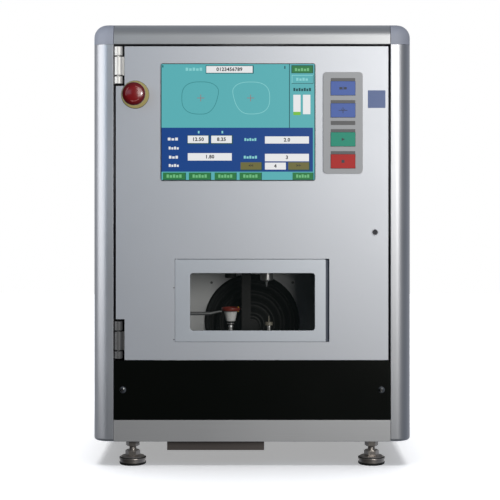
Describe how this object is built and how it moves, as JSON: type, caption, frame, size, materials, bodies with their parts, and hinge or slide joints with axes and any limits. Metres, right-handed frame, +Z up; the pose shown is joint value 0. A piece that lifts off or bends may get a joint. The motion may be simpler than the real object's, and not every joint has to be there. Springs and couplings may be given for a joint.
{
  "type": "lens drilling machine",
  "caption": "Bench-top cabinet that drills spectacle lenses behind a hinged front door with a display, keys, an emergency stop and a small window door, on levelling feet.",
  "frame": {"origin": "on the ground under the middle of the machine's bounding box", "axes": "+Z up, the front door faces -Y, +X to the right as seen from the front"},
  "size_m": [0.4344, 0.4936, 0.6023],
  "materials": {
    "satin_aluminium": "satin anodised",
    "cap_plastic": "matte moulded",
    "silver_paint": "silver paint with a fine metallic flake",
    "black_gloss": "gloss black",
    "sheet_steel": "dark passivated sheet",
    "bright_steel": "bright",
    "chrome": "polished",
    "dark_plastic": "fine texture",
    "display_face": "lit display behind a clear sheet",
    "grey_plastic": "satin",
    "blue_key": "satin",
    "green_key": "satin",
    "red_key": "satin",
    "yellow_plastic": "satin",
    "red_gloss": "glossy moulded",
    "clear_plastic": "clear sheet",
    "liner_paint": "light grey satin",
    "black_rubber": "matte",
    "holder_plastic": "white with an orange-red rim",
    "foot_steel": "dark zinc",
    "stage_aluminium": "dark anodised"
  },
  "bodies": {
    "cabinet": {"base_beam_front": "satin_aluminium", "base_pan": "sheet_steel", "bellows": "black_rubber", "chamber_liner": "liner_paint", "column_front_left": "satin_aluminium", "column_front_right": "satin_aluminium", "column_rear_left": "satin_aluminium", "column_rear_right": "satin_aluminium", "corner_cap_front_left": "cap_plastic", "corner_cap_front_right": "cap_plastic", "corner_cap_rear_left": "cap_plastic", "corner_cap_rear_right": "cap_plastic", "feed_stage": "stage_aluminium", "hinge_lower_frame_leaf": "bright_steel", "hinge_upper_frame_leaf": "bright_steel", "lock_keeper": "sheet_steel", "lock_nut_front_left": "foot_steel", "lock_nut_front_right": "foot_steel", "lock_nut_rear_left": "foot_steel", "lock_nut_rear_right": "foot_steel", "lower_front_panel": "black_gloss", "panel_screw_left": "bright_steel", "panel_screw_right": "bright_steel", "power_inlet": "dark_plastic", "power_supply": "sheet_steel", "rear_panel": "silver_paint", "side_panel_left": "silver_paint", "side_panel_right": "silver_paint", "slide_stage": "stage_aluminium", "steel_tube": "bright_steel", "top_beam_front": "satin_aluminium", "top_beam_left": "satin_aluminium", "top_beam_right": "satin_aluminium", "top_panel": "silver_paint"},
    "door": {"display_unit": "display_face", "door_panel": "silver_paint", "estop_collar": "yellow_plastic", "hinge_lower_door_leaf": "bright_steel", "hinge_upper_door_leaf": "bright_steel", "key_panel": "grey_plastic"},
    "window": {"window_door": "silver_paint", "window_pane": "clear_plastic"},
    "estop_stem": {"estop_stem": "dark_plastic"},
    "estop_head": {"estop_head": "red_gloss"},
    "key_blue_upper": {"key_blue_upper": "blue_key"},
    "key_blue_lower": {"key_blue_lower": "blue_key"},
    "key_green": {"key_green": "green_key"},
    "key_red": {"key_red": "red_key"},
    "lock": {"lock_cam": "bright_steel"},
    "lens_arm": {"lens_arm": "stage_aluminium"},
    "lens_holder": {"lens_holder": "holder_plastic"},
    "lens_clamp": {"lens_clamp": "black_rubber"},
    "drill_head": {"drill_head": "stage_aluminium"},
    "drill_spindle": {"drill_spindle": "chrome"},
    "stylus": {"stylus": "bright_steel"},
    "chip_tray": {"chip_tray": "sheet_steel"},
    "foot_front_left": {"foot_front_left": "foot_steel"},
    "foot_front_right": {"foot_front_right": "foot_steel"},
    "foot_rear_left": {"foot_rear_left": "foot_steel"},
    "foot_rear_right": {"foot_rear_right": "foot_steel"}
  },
  "joints": [
    {"name": "door_swing", "type": "hinge", "parent": "cabinet", "child": "door", "pos_m": [-0.1826, -0.212, 0.36], "axis": [0, 0, -1], "range_deg": [0, 100]},
    {"name": "window_swing", "type": "hinge", "parent": "door", "child": "window", "pos_m": [-0.10335, -0.2135, 0.2255], "axis": [0, 0, -1], "range_deg": [0, 95]},
    {"name": "estop_push", "type": "slide", "parent": "door", "child": "estop_stem", "axis": [0, 1, 0], "range_m": [0, 0.004], "stiffness_N_per_m": 800},
    {"name": "estop_twist", "type": "hinge", "parent": "estop_stem", "child": "estop_head", "pos_m": [-0.1595, -0.215, 0.5062], "axis": [0, 1, 0], "range_deg": [0, 40], "stiffness_Nm_per_rad": 0.3},
    {"name": "key_blue_upper_press", "type": "slide", "parent": "door", "child": "key_blue_upper", "axis": [0, 1, 0], "range_m": [0, 0.001], "stiffness_N_per_m": 600},
    {"name": "key_blue_lower_press", "type": "slide", "parent": "door", "child": "key_blue_lower", "axis": [0, 1, 0], "range_m": [0, 0.001], "stiffness_N_per_m": 600},
    {"name": "key_green_press", "type": "slide", "parent": "door", "child": "key_green", "axis": [0, 1, 0], "range_m": [0, 0.001], "stiffness_N_per_m": 600},
    {"name": "key_red_press", "type": "slide", "parent": "door", "child": "key_red", "axis": [0, 1, 0], "range_m": [0, 0.001], "stiffness_N_per_m": 600},
    {"name": "lock_turn", "type": "hinge", "parent": "door", "child": "lock", "pos_m": [0.1677, -0.215, 0.3185], "axis": [0, -1, 0], "range_deg": [0, 90]},
    {"name": "arm_slide", "type": "slide", "parent": "cabinet", "child": "lens_arm", "axis": [1, 0, 0], "range_m": [0, 0.026], "deforming": ["bellows"]},
    {"name": "holder_turn", "type": "hinge", "parent": "lens_arm", "child": "lens_holder", "pos_m": [-0.03, -0.156, 0.182], "axis": [0, 0, 1], "continuous": true},
    {"name": "clamp_drop", "type": "slide", "parent": "lens_arm", "child": "lens_clamp", "axis": [0, 0, -1], "range_m": [0, 0.03]},
    {"name": "drill_feed", "type": "slide", "parent": "cabinet", "child": "drill_head", "axis": [0, 0, -1], "range_m": [0, 0.03]},
    {"name": "spindle_turn", "type": "hinge", "parent": "drill_head", "child": "drill_spindle", "pos_m": [0.0205, -0.156, 0.26], "axis": [0, 0, 1], "continuous": true},
    {"name": "stylus_lift", "type": "slide", "parent": "cabinet", "child": "stylus", "axis": [0, 0, 1], "range_m": [0, 0.008]},
    {"name": "tray_slide", "type": "slide", "parent": "cabinet", "child": "chip_tray", "axis": [0, -1, 0], "range_m": [0, 0.12]},
    {"name": "foot_level_front_left", "type": "slide", "parent": "cabinet", "child": "foot_front_left", "axis": [0, 0, -1], "range_m": [0, 0.008]},
    {"name": "foot_level_front_right", "type": "slide", "parent": "cabinet", "child": "foot_front_right", "axis": [0, 0, -1], "range_m": [0, 0.008]},
    {"name": "foot_level_rear_left", "type": "slide", "parent": "cabinet", "child": "foot_rear_left", "axis": [0, 0, -1], "range_m": [0, 0.008]},
    {"name": "foot_level_rear_right", "type": "slide", "parent": "cabinet", "child": "foot_rear_right", "axis": [0, 0, -1], "range_m": [0, 0.008]}
  ]
}
